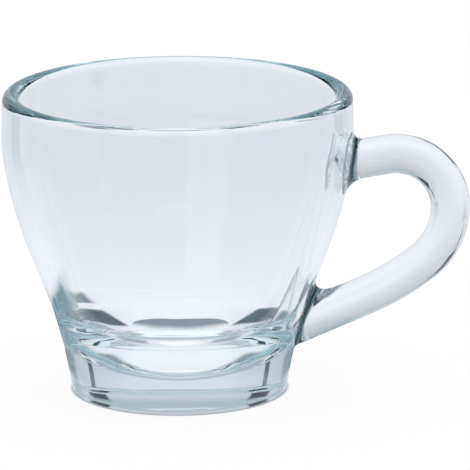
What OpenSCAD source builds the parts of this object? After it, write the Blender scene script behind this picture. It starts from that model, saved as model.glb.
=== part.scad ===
// Small glass coffee cup: a pressed bowl on a heavy solid foot, with a round rod handle applied to it.
// The cup stands on the plane z = 0 with its axis on Z, and the handle lies in the XZ plane on the +X side.
// Lengths are millimetres and angles are degrees.

/* [Bowl outside] */
// Height from the table to the top of the rim
cup_h = 65; // [58:0.5:72]
// Diameter that the side of the foot would reach at the table
foot_d = 46; // [42:0.5:50]
// Rounding of the lower edge of the foot
foot_edge_r = 0.5; // [0.3:0.1:2]
// Height of the straight side of the foot
foot_h = 4; // [3:0.1:7]
// Lean of the side of the foot from upright
foot_lean = 9.6; // [7:0.1:12]
// Radius of the hollow sweep from the foot into the flare
sweep_r = 98; // [80:1:115]
// Lean of the flare from upright
flare_lean = 21.4; // [19:0.1:23]
// Length of the straight flare between the sweep and the swell
flare_len = 7; // [4:0.5:10]
// Radius of the swell of the bowl
swell_r = 97; // [85:1:110]
// Lean at which the swell turns into the shoulder
shoulder_lean = 8.8; // [7:0.1:11]
// Radius of the shoulder
shoulder_r = 27; // [20:1:35]
// Inward lean of the wall above the shoulder
rim_lean = 1.7; // [0.5:0.1:3]

/* [Bowl inside] */
// Thickness of the wall and of its half-round rim
wall_t = 3.7; // [2.8:0.1:4.5]
// Thickness of the floor at its middle
floor_t = 5.7; // [4:0.1:8]
// Radius of the corner between floor and wall
corner_r = 20; // [10:0.5:24]
// Slope at which the dished floor turns into the corner
floor_lean = 30; // [15:1:45]
// Diameter of the hollow under the foot
punt_d = 32; // [20:0.5:36]
// Height of the hollow under the foot
punt_h = 1; // [0.5:0.1:2.5]

/* [Handle] */
// Diameter of the rod
rod_d = 8.4; // [7:0.1:10]
// Clear width of the finger gap at the outermost point of the handle
finger_w = 19; // [16:0.1:23]
// Height of the outermost point of the handle
reach_h = 39.5; // [37:0.1:42]
// Bend radius of the top of the loop
loop_r = 11.6; // [10.5:0.1:12.5]
// Dip of the rod towards the bowl at the upper joint
upper_dip = 9.1; // [6:0.1:12]
// Bend radius of the elbow, just below the outermost point
elbow_r = 15.5; // [14:0.1:17]
// Angle that the elbow turns through
elbow_turn = 51.5; // [48:0.5:55]
// Bend radius of the slack stretch between the elbow and the lower joint
slack_r = 55; // [40:1:80]
// Slope of the rod at the lower joint
lower_slope = 23; // [20:0.1:25]

/* [Joints of the handle] */
// Spread of the upper pad above the rod
upper_pad_top = 1.8; // [1:0.1:3]
// Spread of the upper pad beside the rod
upper_pad_side = 1.5; // [0.8:0.1:2.5]
// Spread of the upper pad below the rod
upper_pad_below = 3.2; // [2:0.1:4.5]
// Spread of the lower pad above the rod
lower_pad_top = 5.6; // [3:0.1:6.5]
// Spread of the lower pad beside the rod
lower_pad_side = 1.6; // [0.8:0.1:2.5]
// Spread of the lower pad below the rod
lower_pad_below = 0.6; // [0.4:0.1:2]
// Gap between the pads and the bowl
seat_gap = 0.02; // [0.01:0.01:0.1]

/* [Hidden] */
$fn = 96;

glass_tint = [0.86, 0.92, 0.93, 0.55];

// Points along each arc of the section, for one of the short and the long arcs
short_steps = 8;
long_steps = 14;
// Sides of the rod, steps of a fillet, and rings that close a pad
rod_sides = 32;
fillet_steps = 5;
pad_rings = 3;
// Largest turn and largest length of the rod between two rings
turn_step = 7;
ring_step = rod_d / 3;
// Halvings in the search for where the rod meets the bowl
search_steps = 32;
// How far a fillet is drawn from its corner to a straight slope, and its run on the rod to its spread
fillet_flat_share = 0.45;
fillet_run_share = 1.2;

// Outline of the bowl, found by walking up from the foot. Each corner is [radius, height].
function lean_dir(lean) = [sin(lean), cos(lean)];
function lean_side(lean) = [cos(lean), -sin(lean)];

foot_top = [foot_d / 2 + foot_h * tan(foot_lean), foot_h];
sweep_c = foot_top + sweep_r * lean_side(foot_lean);
flare_start = sweep_c - sweep_r * lean_side(flare_lean);
flare_end = flare_start + flare_len * lean_dir(flare_lean);
swell_c = flare_end - swell_r * lean_side(flare_lean);
shoulder_start = swell_c + swell_r * lean_side(shoulder_lean);
shoulder_c = shoulder_start - shoulder_r * lean_side(shoulder_lean);
rim_start = shoulder_c + shoulder_r * lean_side(-rim_lean);

// Centre of the half-round rim, which touches the inner and outer faces of the wall
rim_r = wall_t / 2;
rim_c_z = cup_h - rim_r;
rim_c = [rim_start.x - (rim_c_z - rim_start.y) * tan(rim_lean) - rim_r / cos(rim_lean), rim_c_z];

// Centre of the rounding at the foot's lower edge
edge_c = [foot_d / 2 + foot_edge_r * tan(foot_lean) - foot_edge_r / cos(foot_lean), foot_edge_r];

// Floor inside the bowl: a dish from the axis, then a corner that touches the inner face of the flare
flare_in = flare_end - wall_t * lean_side(flare_lean);
floor_turn = floor_lean + flare_lean;
floor_room = (flare_in - [0, floor_t]) * lean_side(flare_lean) - corner_r * (1 - sin(floor_turn));
floor_r = floor_room / (sin(floor_turn) - sin(flare_lean));
floor_c = [0, floor_t + floor_r];
corner_c = floor_c + (floor_r - corner_r) * [sin(floor_lean), -cos(floor_lean)];

// Hollow under the foot, part of a large ball
punt_r = (pow(punt_d / 2, 2) + pow(punt_h, 2)) / (2 * punt_h);
punt_c = [0, punt_h - punt_r];
punt_edge = acos(punt_d / 2 / punt_r);

function arc(c, r, a0, a1, n, skip = 0) =
    [for (i = [skip : n]) let (a = a0 + (a1 - a0) * i / n) c + r * [cos(a), sin(a)]];

cup_section = concat(
    arc(punt_c, punt_r, 90, punt_edge, short_steps),
    arc(edge_c, foot_edge_r, -90, -foot_lean, short_steps),
    arc(sweep_c, sweep_r, 180 - foot_lean, 180 - flare_lean, long_steps),
    arc(swell_c, swell_r, -flare_lean, -shoulder_lean, long_steps),
    arc(shoulder_c, shoulder_r, -shoulder_lean, rim_lean, short_steps, 1),
    arc(rim_c, rim_r, rim_lean, 180 + rim_lean, long_steps),
    arc(shoulder_c, shoulder_r - wall_t, rim_lean, -shoulder_lean, short_steps),
    arc(swell_c, swell_r - wall_t, -shoulder_lean, -flare_lean, long_steps, 1),
    arc(corner_c, corner_r, -flare_lean, floor_lean - 90, long_steps),
    arc(floor_c, floor_r, floor_lean - 90, -90, short_steps, 1)
);

// Radius of the bowl's outer face at a height
function bowl_r(z) =
    z < foot_top.y ? foot_d / 2 + z * tan(foot_lean) :
    z < flare_start.y ? sweep_c.x - sqrt(pow(sweep_r, 2) - pow(z - sweep_c.y, 2)) :
    z < flare_end.y ? flare_start.x + (z - flare_start.y) * tan(flare_lean) :
    z < shoulder_start.y ? swell_c.x + sqrt(pow(swell_r, 2) - pow(z - swell_c.y, 2)) :
    z < rim_start.y ? shoulder_c.x + sqrt(pow(shoulder_r, 2) - pow(z - shoulder_c.y, 2)) :
    rim_start.x - (z - rim_start.y) * tan(rim_lean);

// Point of the pads' seat, just off the bowl, at a distance y beside the handle's plane and a height z
function seat(y, z) = [sqrt(pow(bowl_r(z) + seat_gap, 2) - y * y), y, z];

// Centre line of the rod. A station is [x, z, heading], and the heading falls from the upper joint on.
function bend(c, r, h0, h1) =
    let (n = ceil(max(abs(h1 - h0) / turn_step, abs(h1 - h0) * PI / 180 * r / ring_step)))
    [for (i = [0 : n]) let (h = h0 + (h1 - h0) * i / n) [c.x - r * sin(h), c.y + r * cos(h), h]];
function bend_end(c, r, h) = c + r * [-sin(h), cos(h)];
function bend_centre(p, r, h) = p - r * [-sin(h), cos(h)];

outer_heading = -90;
elbow_heading = outer_heading - elbow_turn;
lower_heading = lower_slope - 180;
outer_point = [bowl_r(reach_h) + finger_w + rod_d / 2, reach_h];

loop_c = bend_centre(outer_point, loop_r, outer_heading);
elbow_c = bend_centre(outer_point, elbow_r, outer_heading);
slack_c = bend_centre(bend_end(elbow_c, elbow_r, elbow_heading), slack_r, elbow_heading);

function drop_last(list) = [for (i = [0 : len(list) - 2]) list[i]];
upper_line = drop_last(bend(loop_c, loop_r, upper_dip, outer_heading));
lower_line = concat(
    drop_last(bend(elbow_c, elbow_r, outer_heading, elbow_heading)),
    bend(slack_c, slack_r, elbow_heading, lower_heading)
);

function rod_side(heading, turn) = [-sin(heading) * cos(turn), sin(turn), cos(heading) * cos(turn)];
function rod_point(station, turn) =
    [station.x, 0, station.y] + rod_d / 2 * rod_side(station.z, turn);
function rod_ring(station) = [for (k = [0 : rod_sides - 1]) rod_point(station, 360 * k / rod_sides)];

// Where a straight line along the rod meets the seat
function outside(p) = norm([p.x, p.y]) > bowl_r(p.z) + seat_gap;
function hit(near, far, n = 0) =
    let (mid = (near + far) / 2)
    n == search_steps ? mid : outside(mid) ? hit(mid, far, n + 1) : hit(near, mid, n + 1);

// A pad is [spread at the outer side of the loop, beside the rod, at the inner side of the loop]
upper_pad = [upper_pad_top, upper_pad_side, upper_pad_below];
lower_pad = [lower_pad_below, lower_pad_side, lower_pad_top];
function spread(pad, turn) = pad[1] + ((cos(turn) > 0 ? pad[0] : pad[2]) - pad[1]) * pow(cos(turn), 2);
function rod_way(station, way) = way * [cos(station.z), 0, sin(station.z)];

// A station has room for a pad if the whole run of its fillet fits between it and the bowl
function has_room(station, way, pad) =
    let (crossed = [for (k = [0 : rod_sides - 1])
        let (turn = 360 * k / rod_sides, run = fillet_run_share * spread(pad, turn))
        if (!outside(rod_point(station, turn) + run * rod_way(station, way))) k])
    len(crossed) == 0;

// The bends stop where the pads begin
upper_stations = [for (station = upper_line) if (has_room(station, -1, upper_pad)) station];
lower_stations = [for (station = lower_line) if (has_room(station, 1, lower_pad)) station];

// One line of a fillet, from the rod out onto the seat
function fillet(station, to_bowl, turn, grow) =
    let (
        start = rod_point(station, turn),
        corner = hit(start, start + start.x / abs(to_bowl.x) * to_bowl),
        out = rod_side(station.z, turn),
        way = [out.y, out.z] / norm([out.y, out.z]),
        foot = seat(corner.y + grow * way.x, corner.z + grow * way.y),
        head = corner - fillet_run_share * grow * to_bowl,
        pull = corner + fillet_flat_share * ((foot + head) / 2 - corner)
    )
    [for (i = [0 : fillet_steps])
        let (t = i / fillet_steps)
        i == fillet_steps ? foot : (1 - t) * (1 - t) * head + 2 * t * (1 - t) * pull + t * t * foot];

function pad_lines(station, way, pad) =
    [for (k = [0 : rod_sides - 1])
        let (turn = 360 * k / rod_sides)
        fillet(station, rod_way(station, way), turn, spread(pad, turn))];
function pad_ring(lines, i) = [for (line = lines) line[i]];

// Rings that close a pad on the seat, shrinking to its middle
function mean(points) = [for (p = points) 1] * points / len(points);
function closing_ring(edge, share) =
    let (middle = mean(edge))
    [for (p = edge) seat(middle.y + (p.y - middle.y) * share, middle.z + (p.z - middle.z) * share)];
function pad_closing(edge) = [for (i = [pad_rings : -1 : 1]) closing_ring(edge, i / (pad_rings + 1))];
function pad_middle(edge) = let (middle = mean(edge)) seat(middle.y, middle.z);

function reverse(list) = [for (i = [len(list) - 1 : -1 : 0]) list[i]];

upper_lines = pad_lines(upper_stations[0], -1, upper_pad);
lower_lines = pad_lines(lower_stations[len(lower_stations) - 1], 1, lower_pad);
upper_edge = pad_ring(upper_lines, fillet_steps);
lower_edge = pad_ring(lower_lines, fillet_steps);

handle_rings = concat(
    reverse(pad_closing(upper_edge)),
    [for (i = [fillet_steps : -1 : 0]) pad_ring(upper_lines, i)],
    [for (station = concat(upper_stations, lower_stations)) rod_ring(station)],
    [for (i = [0 : fillet_steps]) pad_ring(lower_lines, i)],
    pad_closing(lower_edge)
);

// Skin over a row of closed rings, with a middle point at each end
module skin(rings, first, last) {
    n = len(rings[0]);
    rows = len(rings);
    points = concat([for (ring = rings) each ring], [first, last]);
    sides = [for (j = [0 : rows - 2], k = [0 : n - 1])
        let (a = j * n + k, b = j * n + (k + 1) % n)
        each [[a, b, b + n], [a, b + n, a + n]]];
    first_cap = [for (k = [0 : n - 1]) [rows * n, (k + 1) % n, k]];
    last_cap = [for (k = [0 : n - 1]) [rows * n + 1, (rows - 1) * n + k, (rows - 1) * n + (k + 1) % n]];
    polyhedron(points, concat(sides, first_cap, last_cap));
}

// Pressed bowl with its foot, revolved from one section
module cup_body() {
    color(glass_tint)
        rotate_extrude()
            polygon(cup_section);
}

// Bent rod with a spread pad at each end, seated on the bowl
module handle() {
    color(glass_tint)
        skin(handle_rings, pad_middle(upper_edge), pad_middle(lower_edge));
}

cup_body();
handle();
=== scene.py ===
import math

import bpy
from mathutils import Matrix, Vector


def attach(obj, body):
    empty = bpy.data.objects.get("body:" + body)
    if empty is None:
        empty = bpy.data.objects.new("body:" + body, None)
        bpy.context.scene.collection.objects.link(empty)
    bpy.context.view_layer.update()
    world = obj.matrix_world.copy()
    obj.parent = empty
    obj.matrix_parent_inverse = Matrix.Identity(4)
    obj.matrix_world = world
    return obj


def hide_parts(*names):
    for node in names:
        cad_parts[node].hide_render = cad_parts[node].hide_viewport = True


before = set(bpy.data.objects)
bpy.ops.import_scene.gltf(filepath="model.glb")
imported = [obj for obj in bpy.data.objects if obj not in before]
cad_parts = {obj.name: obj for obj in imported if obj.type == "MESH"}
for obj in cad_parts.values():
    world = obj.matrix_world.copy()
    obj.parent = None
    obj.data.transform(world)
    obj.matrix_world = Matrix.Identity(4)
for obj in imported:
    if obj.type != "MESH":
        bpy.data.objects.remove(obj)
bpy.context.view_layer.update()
scene = bpy.context.scene
mm = 0.001  # metres
print("frame loaded:", sorted(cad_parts))


class Wire:
    # one output socket of a node tree, with the sums that the trees below need
    def __init__(self, tree, socket=None):
        self.tree = tree
        self.socket = socket

    def node(self, kind, settings=None, values=None, out=0):
        made = self.tree.nodes.new(kind)
        for key, value in (settings or {}).items():
            setattr(made, key, value)
        for key, value in (values or {}).items():
            if isinstance(value, Wire):
                self.tree.links.new(value.socket, made.inputs[key])
            elif value is not None:
                made.inputs[key].default_value = value
        return Wire(self.tree, made.outputs[out] if made.outputs else None)

    def maths(self, operation, *terms):
        return self.node("ShaderNodeMath", {"operation": operation}, dict(enumerate(terms)))

    def part(self, axis):
        return self.node("ShaderNodeSeparateXYZ", None, {0: self}, "XYZ".index(axis))

    def __add__(self, other):
        return self.maths("ADD", self, other)

    def __sub__(self, other):
        return self.maths("SUBTRACT", self, other)

    def __rsub__(self, other):
        return self.maths("SUBTRACT", other, self)

    def __mul__(self, other):
        return self.maths("MULTIPLY", self, other)

    def __truediv__(self, other):
        return self.maths("DIVIDE", self, other)

    def __rtruediv__(self, other):
        return self.maths("DIVIDE", other, self)

    def __pow__(self, other):
        return self.maths("POWER", self, other)

    def __rpow__(self, other):
        return self.maths("POWER", other, self)

    __radd__, __rmul__ = __add__, __mul__

    def __lt__(self, other):
        return self.maths("LESS_THAN", self, other)

    def __gt__(self, other):
        return self.maths("GREATER_THAN", self, other)

    def smooth(self, low, high):
        # 0 below low, 1 above high, with a soft step between
        ends = {"Value": self, "From Min": low, "From Max": high}
        return self.node("ShaderNodeMapRange", {"interpolation_type": "SMOOTHSTEP"}, ends)

    def blend(self, first, second):
        # the first colour where this is 0, the second where it is 1: sockets 6 and 7 take colours
        return self.node("ShaderNodeMix", {"data_type": "RGBA"}, {0: self, 6: first, 7: second}, 2)


def emptyTree(owner):
    owner.use_nodes = True
    owner.node_tree.nodes.clear()
    return Wire(owner.node_tree)


# Bowl and foot: the lengths are millimetres and the leans are degrees from upright

bowl = {
    "height": 65.0,
    "footDiameter": 46.0,  # where the side of the foot would meet the table
    "footEdge": 0.5,
    "footHeight": 4.0,
    "footLean": 9.6,
    "sweepRadius": 98.0,  # hollow sweep from the foot into the flare
    "flareLean": 21.4,
    "flareLength": 7.0,
    "swellRadius": 97.0,
    "shoulderLean": 8.8,
    "shoulderRadius": 27.0,
    "rimLean": -1.7,
    "wall": 3.7,
    "floor": 5.7,
    "corner": 20.0,
    "floorLean": 30.0,
    "puntDiameter": 32.0,
    "puntHeight": 1.0,
    "stepsRound": 288,
    "arcStep": 1.2,  # longest step along an arc
    "turnStep": 3.0,  # largest turn of an arc in one step
    "straightStep": 2.4,  # longest step along a straight stretch
    "weld": 0.001,  # points closer than this are one
}


def leanDir(lean):
    a = math.radians(lean)
    return Vector((math.sin(a), math.cos(a)))


def leanSide(lean):
    a = math.radians(lean)
    return Vector((math.cos(a), -math.sin(a)))


def circlePoint(centre, radius, angle):
    a = math.radians(angle)
    return centre + radius * Vector((math.cos(a), math.sin(a)))


def arcPoints(centre, radius, start, end):
    turn = abs(end - start)
    steps = math.ceil(max(turn / bowl["turnStep"], math.radians(turn) * radius / bowl["arcStep"]))
    return [circlePoint(centre, radius, start + (end - start) * i / steps) for i in range(steps + 1)]


def bowlArcs():
    # the section, from the axis below to the axis inside: rows of (centre, radius, start angle, end angle)
    b = bowl
    footLean, flareLean = b["footLean"], b["flareLean"]
    shoulderLean, rimLean = b["shoulderLean"], b["rimLean"]
    footR = b["footDiameter"] / 2
    footSlope = math.tan(math.radians(footLean))
    footTop = Vector((footR + b["footHeight"] * footSlope, b["footHeight"]))
    sweepC = footTop + b["sweepRadius"] * leanSide(footLean)
    flareEnd = sweepC - b["sweepRadius"] * leanSide(flareLean) + b["flareLength"] * leanDir(flareLean)
    swellC = flareEnd - b["swellRadius"] * leanSide(flareLean)
    shoulderC = swellC + (b["swellRadius"] - b["shoulderRadius"]) * leanSide(shoulderLean)
    rimR = b["wall"] / 2
    rimStart = shoulderC + b["shoulderRadius"] * leanSide(rimLean)
    rimZ = b["height"] - rimR
    rimSlope = math.radians(rimLean)
    rimX = rimStart.x + (rimZ - rimStart.y) * math.tan(rimSlope) - rimR / math.cos(rimSlope)
    rimC = Vector((rimX, rimZ))
    edge = b["footEdge"]
    edgeC = Vector((footR + edge * footSlope - edge / math.cos(math.radians(footLean)), edge))
    # the dished floor and its corner touch each other and the inner face of the flare
    inner = flareEnd - b["wall"] * leanSide(flareLean) - Vector((0, b["floor"]))
    floorTurn = math.sin(math.radians(b["floorLean"] + flareLean))
    room = inner.dot(leanSide(flareLean)) - b["corner"] * (1 - floorTurn)
    floorR = room / (floorTurn - math.sin(math.radians(flareLean)))
    floorC = Vector((0, b["floor"] + floorR))
    cornerC = circlePoint(floorC, floorR - b["corner"], b["floorLean"] - 90)
    puntR = ((b["puntDiameter"] / 2) ** 2 + b["puntHeight"] ** 2) / (2 * b["puntHeight"])
    puntC = Vector((0, b["puntHeight"] - puntR))
    puntEdge = math.degrees(math.acos(b["puntDiameter"] / 2 / puntR))
    return [
        (puntC, puntR, 90, puntEdge),
        (edgeC, edge, -90, -footLean),
        (sweepC, b["sweepRadius"], 180 - footLean, 180 - flareLean),
        (swellC, b["swellRadius"], -flareLean, -shoulderLean),
        (shoulderC, b["shoulderRadius"], -shoulderLean, -rimLean),
        (rimC, rimR, -rimLean, 180 - rimLean),
        (shoulderC, b["shoulderRadius"] - b["wall"], -rimLean, -shoulderLean),
        (swellC, b["swellRadius"] - b["wall"], -shoulderLean, -flareLean),
        (cornerC, b["corner"], -flareLean, b["floorLean"] - 90),
        (floorC, floorR, b["floorLean"] - 90, -90),
    ]


def bowlSection():
    arcs = [arcPoints(*arc) for arc in bowlArcs()]
    points = arcs[0][:1]
    for p in sum(arcs, []):
        last = points[-1]
        gap = (p - last).length
        if gap > bowl["weld"]:
            # a straight stretch gets points too, so that its faces stay short
            steps = math.ceil(gap / bowl["straightStep"])
            points += [last.lerp(p, i / steps) for i in range(1, steps + 1)]
    points[0].x = points[-1].x = 0.0
    return points


def bowlRadius(z):
    # radius of the outer face at a height
    sweep, swell, shoulder = bowlArcs()[2:5]
    sweepC, sweepR, _, sweepEnd = sweep
    swellC, swellR, swellStart, swellEnd = swell
    shoulderC, shoulderR = shoulder[:2]
    flareStart = circlePoint(sweepC, sweepR, sweepEnd)
    if z < bowl["footHeight"]:
        return bowl["footDiameter"] / 2 + z * math.tan(math.radians(bowl["footLean"]))
    if z < flareStart.y:
        return sweepC.x - math.sqrt(sweepR ** 2 - (z - sweepC.y) ** 2)
    if z < circlePoint(swellC, swellR, swellStart).y:
        return flareStart.x + (z - flareStart.y) * math.tan(math.radians(bowl["flareLean"]))
    if z < circlePoint(swellC, swellR, swellEnd).y:
        return swellC.x + math.sqrt(swellR ** 2 - (z - swellC.y) ** 2)
    return shoulderC.x + math.sqrt(shoulderR ** 2 - (z - shoulderC.y) ** 2)


def turningTree():
    # turns the points of a section, which lie in the XZ plane, round the Z axis
    tree = bpy.data.node_groups.new("turnedGlass", "GeometryNodeTree")
    for name, kind in (("Section", "Geometry"), ("Section points", "Int"), ("Steps round", "Int"),
                       ("Weld", "Float"), ("Finish", "Material")):
        tree.interface.new_socket(name, in_out="INPUT", socket_type="NodeSocket" + kind)
    tree.interface.new_socket("Bowl", in_out="OUTPUT", socket_type="NodeSocketGeometry")
    start = Wire(tree)
    inputNode = start.node("NodeGroupInput").socket.node
    given = {socket.name: Wire(tree, socket) for socket in inputNode.outputs}
    points, steps = given["Section points"], given["Steps round"]
    grid = start.node("GeometryNodeMeshGrid", None, {"Vertices X": steps + 1, "Vertices Y": points})
    index = start.node("GeometryNodeInputIndex")
    row = start.maths("FLOOR", (index + 0.5) / points)  # the half keeps it clear of rounding
    angle = row * math.tau / steps
    place = start.node("GeometryNodeInputPosition")
    sample = start.node("GeometryNodeSampleIndex", {"data_type": "FLOAT_VECTOR"},
                        {"Geometry": given["Section"], "Value": place, "Index": index - row * points})
    radius = sample.part("X")
    turned = start.node("ShaderNodeCombineXYZ", None, {
        "X": radius * start.maths("COSINE", angle),
        "Y": radius * start.maths("SINE", angle),
        "Z": sample.part("Z")})
    skin = start.node("GeometryNodeSetPosition", None, {"Geometry": grid, "Position": turned})
    skin = start.node("GeometryNodeMergeByDistance", None, {"Geometry": skin, "Distance": given["Weld"]})
    skin = start.node("GeometryNodeSetShadeSmooth", None, {"Geometry": skin})
    skin = start.node("GeometryNodeRealizeInstances", None, {"Geometry": skin})
    skin = start.node("GeometryNodeSetMaterial", None, {"Geometry": skin, "Material": given["Finish"]})
    start.node("NodeGroupOutput", None, {"Bowl": skin})
    return tree


def addObject(name, data):
    made = bpy.data.objects.new(name, data)
    scene.collection.objects.link(made)
    return made


def makeBowl(finish):
    section = [p * mm for p in bowlSection()]
    mesh = bpy.data.meshes.new("bowlSection")
    mesh.from_pydata([(p.x, 0, p.y) for p in section], [], [])
    blank = addObject("bowlBlank", mesh)
    tree = turningTree()
    turning = blank.modifiers.new("turning", "NODES")
    turning.node_group = tree
    inputs = {"Section points": len(section), "Steps round": bowl["stepsRound"],
              "Weld": bowl["weld"] * mm, "Finish": finish}
    for socket in tree.interface.items_tree:
        if socket.name in inputs:
            turning[socket.identifier] = inputs[socket.name]
    graph = bpy.context.evaluated_depsgraph_get()
    turnedMesh = bpy.data.meshes.new_from_object(blank.evaluated_get(graph))
    bpy.data.objects.remove(blank)
    turnedMesh.name = "glassBowl"
    print("bowl turned:", len(turnedMesh.polygons), "faces")
    return addObject("glassBowl", turnedMesh)


# Handle: a round rod in the XZ plane. The lengths are millimetres. A heading is in degrees, and falls along
# the rod from the upper joint.

rod = {
    "diameter": 8.4,
    "fingerWidth": 19.0,
    "reachHeight": 39.5,  # height of the outermost point
    "loopRadius": 11.6,
    "upperDip": 9.1,
    "elbowRadius": 15.5,
    "elbowTurn": 51.5,
    "slackRadius": 55.0,
    "lowerSlope": 23.0,
    "sides": 128,
    "bendStep": 2.0,  # degrees
    "seatGap": 0.01,
    "seatSearch": 48,  # halvings in the search for the seat
    "filletRunShare": 1.2,
    "filletPullShare": 0.6,
    "filletSteps": 14,
    "capRings": 3,
}
# how far each pad spreads from the rod on the bowl: at the outer side of the loop, beside the rod and at
# the inner side
pads = {
    "upper": {"outer": 1.8, "side": 1.5, "inner": 3.2},
    "lower": {"outer": 0.6, "side": 1.6, "inner": 5.6},
}


def across(heading):
    a = math.radians(heading)
    return Vector((-math.sin(a), math.cos(a)))


def along(heading):
    a = math.radians(heading)
    return Vector((math.cos(a), math.sin(a)))


def rodBends():
    # rows of (centre, radius, first heading, last heading)
    outerHeight = rod["reachHeight"]
    outerPoint = Vector((bowlRadius(outerHeight) + rod["fingerWidth"] + rod["diameter"] / 2, outerHeight))
    elbowHeading = -90 - rod["elbowTurn"]
    loopC = outerPoint - rod["loopRadius"] * across(-90)
    elbowC = outerPoint - rod["elbowRadius"] * across(-90)
    slackC = elbowC + (rod["elbowRadius"] - rod["slackRadius"]) * across(elbowHeading)
    return [
        (loopC, rod["loopRadius"], rod["upperDip"], -90),
        (elbowC, rod["elbowRadius"], -90, elbowHeading),
        (slackC, rod["slackRadius"], elbowHeading, rod["lowerSlope"] - 180),
    ]


def rodStations():
    stations = []
    for centre, radius, first, last in rodBends():
        steps = math.ceil(abs(last - first) / rod["bendStep"])
        for i in range(1 if stations else 0, steps + 1):
            heading = first + (last - first) * i / steps
            stations.append((centre + radius * across(heading), heading))
    return stations


def rodPoint(station, turn):
    place, heading = station
    out = across(heading) * math.cos(turn) * rod["diameter"] / 2
    return Vector((place.x + out.x, math.sin(turn) * rod["diameter"] / 2, place.y + out.y))


def seatPoint(y, z):
    return Vector((math.sqrt((bowlRadius(z) + rod["seatGap"]) ** 2 - y * y), y, z))


def seatHit(start, way):
    # where a line from a point outside the bowl meets the seat
    near, far = 0.0, start.x
    for _ in range(rod["seatSearch"]):
        middle = (near + far) / 2
        p = start + middle * way
        if math.hypot(p.x, p.y) > bowlRadius(p.z) + rod["seatGap"]:
            near = middle
        else:
            far = middle
    return start + near * way


def padOutline(end):
    # egg on the bowl: its middle height, half width, and reach above and below the middle
    station, sign = (rodStations()[0], -1) if end == "upper" else (rodStations()[-1], 1)
    flat = sign * along(station[1])
    way = Vector((flat.x, 0, flat.y))
    outer, inner = (seatHit(rodPoint(station, t), way) for t in (0, math.pi))
    pad = pads[end]
    outerUp = 1 if end == "upper" else -1
    middle = (outer.z + inner.z) / 2
    reach = {outerUp: abs(outer.z - middle) + pad["outer"],
             -outerUp: abs(inner.z - middle) + pad["inner"]}
    return {"station": station, "way": way, "outerUp": outerUp, "middle": middle,
            "half": rod["diameter"] / 2 + pad["side"], "above": reach[1], "below": reach[-1]}


def padRings(end):
    # rings from the rod out to the edge of the pad
    outline = padOutline(end)
    lines = []
    for k in range(rod["sides"]):
        turn = math.tau * k / rod["sides"]
        up = outline["outerUp"] * math.cos(turn)
        corner = seatHit(rodPoint(outline["station"], turn), outline["way"])
        foot = seatPoint(outline["half"] * math.sin(turn),
                         outline["middle"] + up * outline["above" if up > 0 else "below"])
        head = corner - rod["filletRunShare"] * (foot - corner).length * outline["way"]
        pull = rod["filletPullShare"]
        headPull, footPull = head.lerp(corner, pull), foot.lerp(corner, pull)
        line = []
        for i in range(rod["filletSteps"] + 1):
            t = i / rod["filletSteps"]
            s = 1 - t
            p = s ** 3 * head + 3 * s * s * t * headPull
            line.append(p + 3 * s * t * t * footPull + t ** 3 * foot)
        lines.append(line)
    return [list(ring) for ring in zip(*lines)]


def capRings(edge):
    # rings that close a pad on the seat, and its middle point
    y = sum(p.y for p in edge) / len(edge)
    z = sum(p.z for p in edge) / len(edge)
    shares = [i / (rod["capRings"] + 1) for i in range(rod["capRings"], 0, -1)]
    rings = [[seatPoint(y + (p.y - y) * s, z + (p.z - z) * s) for p in edge] for s in shares]
    return rings, seatPoint(y, z)


def makeHandle(finish):
    upper, lower = padRings("upper"), padRings("lower")
    upperCap, upperMiddle = capRings(upper[-1])
    lowerCap, lowerMiddle = capRings(lower[-1])
    sides = rod["sides"]
    turns = [math.tau * k / sides for k in range(sides)]
    rodRings = [[rodPoint(s, t) for t in turns] for s in rodStations()]
    rings = upperCap[::-1] + upper[::-1] + rodRings + lower + lowerCap
    verts = [p * mm for ring in rings for p in ring] + [upperMiddle * mm, lowerMiddle * mm]
    faces, seam, fillet = [], [], []
    last = len(rings) - 1
    capRows = len(upperCap)
    for j in range(last):
        fromSeat = min(j, last - 1 - j) - capRows  # rows between this one and the nearer seat
        for k in range(sides):
            n = (k + 1) % sides
            faces.append((j * sides + n, j * sides + k, (j + 1) * sides + k, (j + 1) * sides + n))
            seam.append(1.0 if fromSeat < 0 else 0.0)
            fillet.append(min(max(1 - fromSeat / rod["filletSteps"], 0.0), 1.0))
    for k in range(sides):
        n = (k + 1) % sides
        faces.append((len(verts) - 2, k, n))
        faces.append((len(verts) - 1, last * sides + n, last * sides + k))
        seam += [1.0, 1.0]
        fillet += [1.0, 1.0]
    mesh = bpy.data.meshes.new("glassHandle")
    mesh.from_pydata(verts, [], faces)
    for name, values in (("seam", seam), ("fillet", fillet)):
        mesh.attributes.new(name, "FLOAT", "FACE").data.foreach_set("value", values)
    mesh.shade_smooth()
    # the edge of each pad is sharp, so that the seat doesn't bend the fillet's shading
    edgeRows = {capRows, last - capRows}
    sharp = []
    for edge in mesh.edges:
        rows = {v // sides for v in edge.vertices}
        sharp.append(len(rows) == 1 and rows <= edgeRows)
    mesh.attributes.new("sharp_edge", "BOOLEAN", "EDGE").data.foreach_set("value", sharp)
    mesh.materials.append(finish)
    mesh.validate()
    print("handle bent:", len(mesh.polygons), "faces")
    return addObject("glassHandle", mesh)


# Clear pressed glass. Where the handle is fused to the bowl, the seam between the two lets light straight
# through. The fillets of the joints carry a painted shade: their colour is darkened to stand in for the
# light that goes round in them.

glass = {
    "index": 1.52,
    "tint": (0.45, 0.86, 0.93, 1.0),
    "tintDensity": 5.0,  # per metre
    "roughness": 0.0,
    "transmission": 1.0,
    "clear": (1.0, 1.0, 1.0, 1.0),
    # painted shade: the dark colour given to the joint fillets, standing in for the light trapped in them
    "filletPaintedShade": (0.02, 0.055, 0.06, 1.0),
    "filletEdge": (0.30, 0.55),  # shares of the way from the rod to the seat
    "waveScale": 220.0,  # waves of the pressed bowl, per metre
    "waveDetail": 0.0,
    "waveHeight": 0.00004,  # metres
    "waveEdge": (0.014, 0.028),  # heights, in metres, between which the waves fade
    "wallShare": 0.15,  # what is left of them in the wall
}


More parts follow.
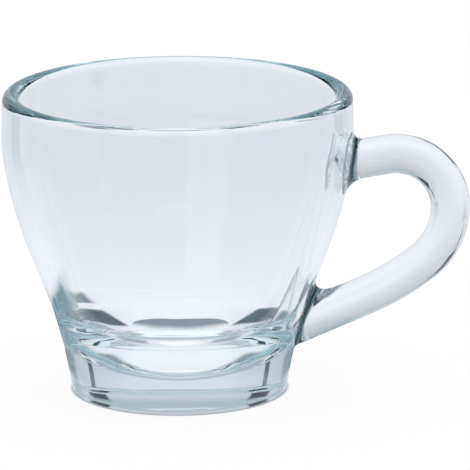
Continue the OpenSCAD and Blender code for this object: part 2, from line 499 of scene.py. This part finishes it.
def glassFinish(name, seam, tone=None, waves=None):
    material = bpy.data.materials.new(name)
    tree = emptyTree(material)
    sheen = tree.node("ShaderNodeBsdfPrincipled", None, {
        "Base Color": tone(tree) if tone else glass["clear"],
        "Roughness": glass["roughness"],
        "IOR": glass["index"],
        "Transmission Weight": glass["transmission"],
        "Normal": waves(tree) if waves else None,
        "Alpha": 1 - seam(tree)})
    depth = tree.node("ShaderNodeVolumeAbsorption", None, {
        "Color": glass["tint"], "Density": glass["tintDensity"]})
    tree.node("ShaderNodeOutputMaterial", None, {"Surface": sheen, "Volume": depth})
    return material


def bowlSeam(tree):
    place = tree.node("ShaderNodeTexCoord", None, None, "Object")
    x, y, z = (place.part(axis) for axis in "XYZ")
    radius = tree.maths("SQRT", x * x + y * y)
    covered = None
    for end in pads:
        egg = padOutline(end)
        rise = z / mm - egg["middle"]
        reach = (y / (egg["half"] * mm)) ** 2 + (tree.maths("MAXIMUM", rise, 0) / egg["above"]) ** 2
        reach = reach + (tree.maths("MINIMUM", rise, 0) / egg["below"]) ** 2
        # only the outer face: beyond a line up the middle of the wall
        top, bottom = egg["middle"] + egg["above"], egg["middle"] - egg["below"]
        slope = (bowlRadius(top) - bowlRadius(bottom)) / (top - bottom)
        middleR = bowlRadius(egg["middle"]) - bowl["wall"] / 2
        inWall = radius > (rise * slope + middleR) * mm
        here = (reach < 1) * inWall * (x > 0)
        covered = here if covered is None else covered + here
    return covered


def bowlWaves(tree):
    place = tree.node("ShaderNodeTexCoord", None, None, "Object")
    wave = tree.node("ShaderNodeTexNoise", None, {
        "Vector": place, "Scale": glass["waveScale"], "Detail": glass["waveDetail"]}, "Fac")
    share = 1 - place.part("Z").smooth(*glass["waveEdge"]) * (1 - glass["wallShare"])
    return tree.node("ShaderNodeBump", None, {"Height": wave * share, "Distance": glass["waveHeight"]})


def handleSeam(tree):
    return tree.node("ShaderNodeAttribute", {"attribute_name": "seam"}, None, "Fac")


# painted shade: the handle's colour darkens from the rod towards the seat
def handlePaintedShade(tree):
    share = tree.node("ShaderNodeAttribute", {"attribute_name": "fillet"}, None, "Fac")
    return share.smooth(*glass["filletEdge"]).blend(glass["clear"], glass["filletPaintedShade"])


# Studio: a pale table and a grey backdrop, with dark wings beside it, a dim room round it, a window at the
# front left and a light overhead. Tones are as the glass shows them: to the camera the table and the room
# are white. A turn is in degrees off the backdrop's middle, a rise is the sine of the height above the
# horizon, and lengths are metres. A band is four edges: it fades in from the first to the second, and out
# from the third to the fourth. Edges out of reach leave it open at that end.

studio = {
    "white": (1.0, 1.0, 1.0, 1.0),
    "tableHalf": 3.0,
    "tableDrop": 0.00002,  # keeps the table off the face that the foot rests on
    "tableWhite": (1.02, 1.02, 1.02, 1.0),  # as the camera sees it
    "tableMatt": (0.95, 0.95, 0.95, 1.0),  # what takes the shadow
    "shadowShare": 0.12,
    "footLine": (0.26, 0.30, 0.34, 1.0),  # the thin shade where the foot meets the table
    "footLineAway": (0.0227, 0.0238),
    "tableNear": (0.90, 0.93, 0.97, 1.0),
    "tableFar": (0.80, 0.835, 0.89, 1.0),
    "farEdge": (0.070, 0.200),
    "tableSheen": 1.25,  # index of the gloss that a grazing look shows
    "sheenRoughness": 0.02,
    "contact": (0.17, 0.22, 0.28, 1.0),  # a rounded shade behind the foot
    "contactHalf": (0.0130, 0.0110),  # half its width, and its reach beyond the middle
    "contactMiddle": 0.0220,
    "contactPower": 2.5,  # 2 makes it an ellipse, more makes it squarer
    "contactEdge": (0.90, 1.0),
    "contactFade": (0.0225, 0.0275),
    "beside": (0.0, 0.04, 0.06, 1.0),  # the shade beside the foot
    "besideAway": (0.0255, 0.0275, 0.0385, 0.0415),
    "besideTurn": (29.0, 32.0, 55.0, 65.0),
    "flank": (0.17, 0.21, 0.24, 1.0),  # the paler end of that shade
    "flankAway": (0.0270, 0.0300, 0.0410, 0.0450),
    "flankTurn": (52.0, 62.0, 130.0, 150.0),
    "outer": (0.05, 0.12, 0.16, 1.0),  # a farther shade, which shows in the foot's left shoulder
    "outerAway": (0.0460, 0.0485, 0.0600, 0.0660),
    "outerTurn": (28.0, 33.0, 43.0, 48.0),
    "left": (0.22, 0.31, 0.37, 1.0),  # its paler end
    "leftAway": (0.0400, 0.0430, 0.0580, 0.0640),
    "leftTurn": (43.0, 48.0, 80.0, 92.0),
    "leftOnly": ("outer", "left", "front"),  # what the handle's side of the studio doesn't have
    "under": (0.27, 0.32, 0.36, 1.0),  # the shade under the foot
    "underAway": (0.0080, 0.0105, 0.0170, 0.0200),
    "underTurn": (60.0, 85.0, 110.0, 126.0),
    "glint": (1.10, 1.12, 1.14, 1.0),  # light that the cup gathers under its middle
    "glintAway": (-2.0, -1.0, 0.0040, 0.0080),
    "glintTurn": (-2.0, -1.0, 190.0, 191.0),
    "backdropLow": (0.64, 0.665, 0.705, 1.0),
    "backdropMid": (0.59, 0.605, 0.64, 1.0),
    "backdropHigh": (0.455, 0.51, 0.55, 1.0),
    "backdropRise": (0.06, 0.24),
    "backdropTop": (0.22, 0.50),
    "side": (0.34, 0.38, 0.42, 1.0),  # the dim room
    "sideTurn": (54.0, 62.0, 190.0, 191.0),
    "sideRise": (-2.0, -1.0, 0.57, 0.75),
    "wing": (0.015, 0.025, 0.03, 1.0),
    "wingTurn": (30.0, 32.0, 44.0, 48.0),
    "wingRise": (0.13, 0.16, 0.38, 0.56),
    "arch": (0.16, 0.19, 0.22, 1.0),  # the dark top of the backdrop
    "archTurn": (10.0, 20.0, 50.0, 60.0),
    "archRise": (0.76, 0.82, 0.92, 0.95),
    "gap": (0.10, 0.13, 0.15, 1.0),  # the narrow lower part of the wings
    "gapTurn": (37.5, 38.5, 41.0, 42.0),
    "gapRise": (-0.05, -0.02, 0.11, 0.15),
    "front": (0.80, 0.84, 0.88, 1.0),  # the window
    "frontTurn": (136.0, 140.0, 172.0, 176.0),
    "frontRise": (0.03, 0.08, 0.46, 0.52),
    "overhead": (1.04, 1.07, 1.10, 1.0),
    "overheadTurn": (70.0, 100.0, 190.0, 191.0),
    "overheadRise": (0.78, 0.85, 2.0, 3.0),
}


def seenInGlass(tree):
    # 1 where a ray comes off or through something clear or shiny
    glossy = tree.node("ShaderNodeLightPath", None, None, "Is Glossy Ray")
    through = tree.node("ShaderNodeLightPath", None, None, "Is Transmission Ray")
    return tree.maths("MAXIMUM", glossy, through)


def turnOff(x, y):
    # degrees off the line from the camera to the middle of the backdrop
    return x.maths("ABSOLUTE", x.maths("ARCTAN2", x, y)) * math.degrees(1)


def band(value, edges):
    # 1 between the second and third edge, with soft ends
    return value.smooth(*edges[:2]) * (1 - value.smooth(*edges[2:]))


def patch(name, x, turn, reach, kind):
    # 1 inside one of the studio's areas
    share = band(turn, studio[name + "Turn"]) * band(reach, studio[name + kind])
    return share * (x < 0) if name in studio["leftOnly"] else share


def makeTable():
    half = studio["tableHalf"]
    mesh = bpy.data.meshes.new("table")
    corners = [(-half, -half), (half, -half), (half, half), (-half, half)]
    mesh.from_pydata([(x, y, -studio["tableDrop"]) for x, y in corners], [], [(0, 1, 2, 3)])
    table = addObject("table", mesh)
    material = bpy.data.materials.new("paleTable")
    tree = emptyTree(material)
    place = tree.node("ShaderNodeTexCoord", None, None, "Object")
    x, y = place.part("X"), place.part("Y")
    away = tree.maths("SQRT", x * x + y * y)
    tone = away.smooth(*studio["farEdge"]).blend(studio["tableNear"], studio["tableFar"])
    turn = turnOff(x, y)
    for shade in ("outer", "left", "beside", "flank", "under", "glint"):
        tone = patch(shade, x, turn, away, "Away").blend(tone, studio[shade])
    acrossShare = tree.maths("ABSOLUTE", x) / studio["contactHalf"][0]
    beyondShare = tree.maths("ABSOLUTE", y - studio["contactMiddle"]) / studio["contactHalf"][1]
    lobe = acrossShare ** studio["contactPower"] + beyondShare ** studio["contactPower"]
    lobe = (1 - lobe.smooth(*studio["contactEdge"])) * y.smooth(*studio["contactFade"])
    tone = lobe.blend(tone, studio["contact"])
    inGlass = seenInGlass(tree)
    bare = away.smooth(*studio["footLineAway"]).blend(studio["footLine"], studio["tableWhite"])
    glow = tree.node("ShaderNodeEmission", None, {"Color": inGlass.blend(bare, tone)})
    matt = tree.node("ShaderNodeBsdfDiffuse", None, {"Color": studio["tableMatt"]})
    mattShare = (1 - inGlass) * studio["shadowShare"]
    skin = tree.node("ShaderNodeMixShader", None, {"Fac": mattShare, 1: glow, 2: matt})
    gloss = tree.node("ShaderNodeBsdfAnisotropic", None, {
        "Color": studio["white"], "Roughness": studio["sheenRoughness"]})
    sheen = tree.node("ShaderNodeFresnel", None, {"IOR": studio["tableSheen"]})
    skin = tree.node("ShaderNodeMixShader", None, {"Fac": sheen * inGlass, 1: skin, 2: gloss})
    tree.node("ShaderNodeOutputMaterial", None, {"Surface": skin})
    mesh.materials.append(material)


def makeRoom():
    world = bpy.data.worlds.new("room")
    scene.world = world
    tree = emptyTree(world)
    way = tree.node("ShaderNodeTexCoord", None, None, "Generated")
    x, y, rise = (way.part(axis) for axis in "XYZ")
    turn = turnOff(x, y)
    tone = rise.smooth(*studio["backdropRise"]).blend(studio["backdropLow"], studio["backdropMid"])
    tone = rise.smooth(*studio["backdropTop"]).blend(tone, studio["backdropHigh"])
    for area in ("side", "wing", "arch", "gap", "front", "overhead"):
        tone = patch(area, x, turn, rise, "Rise").blend(tone, studio[area])
    tone = seenInGlass(tree).blend(studio["white"], tone)
    glow = tree.node("ShaderNodeBackground", None, {"Color": tone})
    tree.node("ShaderNodeOutputWorld", None, {"Surface": glow})


# Camera: far off with a long lens, a little above the rim. The lengths are millimetres.

shot = {
    "distance": 1100.0,
    "elevation": 14.0,
    "target": (12.05, 0.0, 33.4),
    "focalPixels": 5150.0,
    "imagePixels": 470,
    "sensor": 36.0,
    "roll": -0.3,
    "nearest": 10.0,
    "farthest": 20000.0,
    "bounces": 44,  # the rim and the foot pass light on many times
    "clearBounces": 32,
}


def makeCamera():
    lens = bpy.data.cameras.new("camera")
    lens.sensor_width = shot["sensor"]
    lens.lens = shot["focalPixels"] / shot["imagePixels"] * shot["sensor"]
    lens.clip_start, lens.clip_end = shot["nearest"] * mm, shot["farthest"] * mm
    camera = addObject("camera", lens)
    rise = math.radians(shot["elevation"])
    back = Vector((0, -math.cos(rise), math.sin(rise)))
    camera.location = (Vector(shot["target"]) + back * shot["distance"]) * mm
    roll = Matrix.Rotation(math.radians(shot["roll"]), 3, "Z")
    camera.rotation_euler = ((-back).to_track_quat("-Z", "Y").to_matrix() @ roll).to_euler()
    scene.camera = camera


makeCamera()
makeTable()
makeRoom()
scene.view_settings.view_transform = "Standard"
for limit in ("max_bounces", "transmission_bounces", "glossy_bounces"):
    setattr(scene.cycles, limit, shot["bounces"])
scene.cycles.transparent_max_bounces = shot["clearBounces"]
print("studio set")

glassBowl = makeBowl(glassFinish("bowlGlass", bowlSeam, waves=bowlWaves))
glassHandle = makeHandle(glassFinish("handleGlass", handleSeam, handlePaintedShade))
for piece, nodeName in ((glassBowl, "cup_body"), (glassHandle, "handle")):
    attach(piece, "root")
    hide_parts(nodeName)
